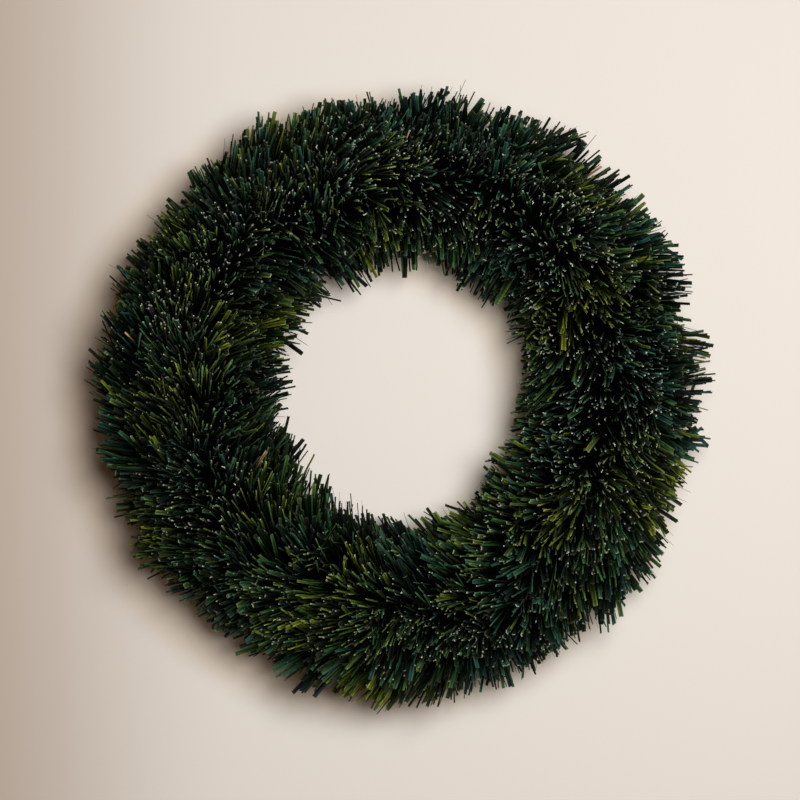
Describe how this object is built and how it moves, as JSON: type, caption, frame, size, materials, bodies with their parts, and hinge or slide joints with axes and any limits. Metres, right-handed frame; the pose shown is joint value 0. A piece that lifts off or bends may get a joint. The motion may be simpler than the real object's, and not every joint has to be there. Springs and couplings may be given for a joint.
{
  "type": "natural fiber wreath",
  "caption": "Round bristly wreath of green-dyed grass stalks, fanned out in bunches round a ring of twisted wire and trimmed flat at the back, for a door, wall or table.",
  "frame": {"origin": "on the surface that the wreath lies on, under the middle of its bounding box", "axes": "+Z out of the wreath's face, along the ring's axis; +Y towards the side that is uppermost when it hangs; +X to the right as its face is looked at"},
  "size_m": [0.6178, 0.6144, 0.1648],
  "materials": {
    "deep_green_grass": "matte",
    "olive_grass": "matte",
    "wire_steel": "satin"
  },
  "bodies": {
    "root": {"core_wire_a": "wire_steel", "core_wire_b": "wire_steel", "joint_binding": "wire_steel", "bunch_01": "deep_green_grass", "bunch_02": "deep_green_grass", "bunch_03": "olive_grass", "bunch_04": "deep_green_grass", "bunch_05": "deep_green_grass", "bunch_06": "deep_green_grass", "bunch_07": "deep_green_grass", "bunch_08": "deep_green_grass", "bunch_09": "deep_green_grass", "bunch_10": "deep_green_grass", "bunch_11": "deep_green_grass", "bunch_12": "deep_green_grass", "bunch_13": "olive_grass", "bunch_14": "olive_grass", "bunch_15": "deep_green_grass", "bunch_16": "deep_green_grass", "bunch_17": "deep_green_grass", "bunch_18": "deep_green_grass", "bunch_19": "olive_grass", "bunch_20": "deep_green_grass", "bunch_21": "deep_green_grass", "bunch_22": "deep_green_grass", "bunch_23": "olive_grass", "bunch_24": "deep_green_grass", "bunch_25": "deep_green_grass", "bunch_26": "deep_green_grass", "bunch_27": "deep_green_grass", "bunch_28": "deep_green_grass", "bunch_29": "olive_grass", "bunch_30": "deep_green_grass"}
  },
  "joints": []
}
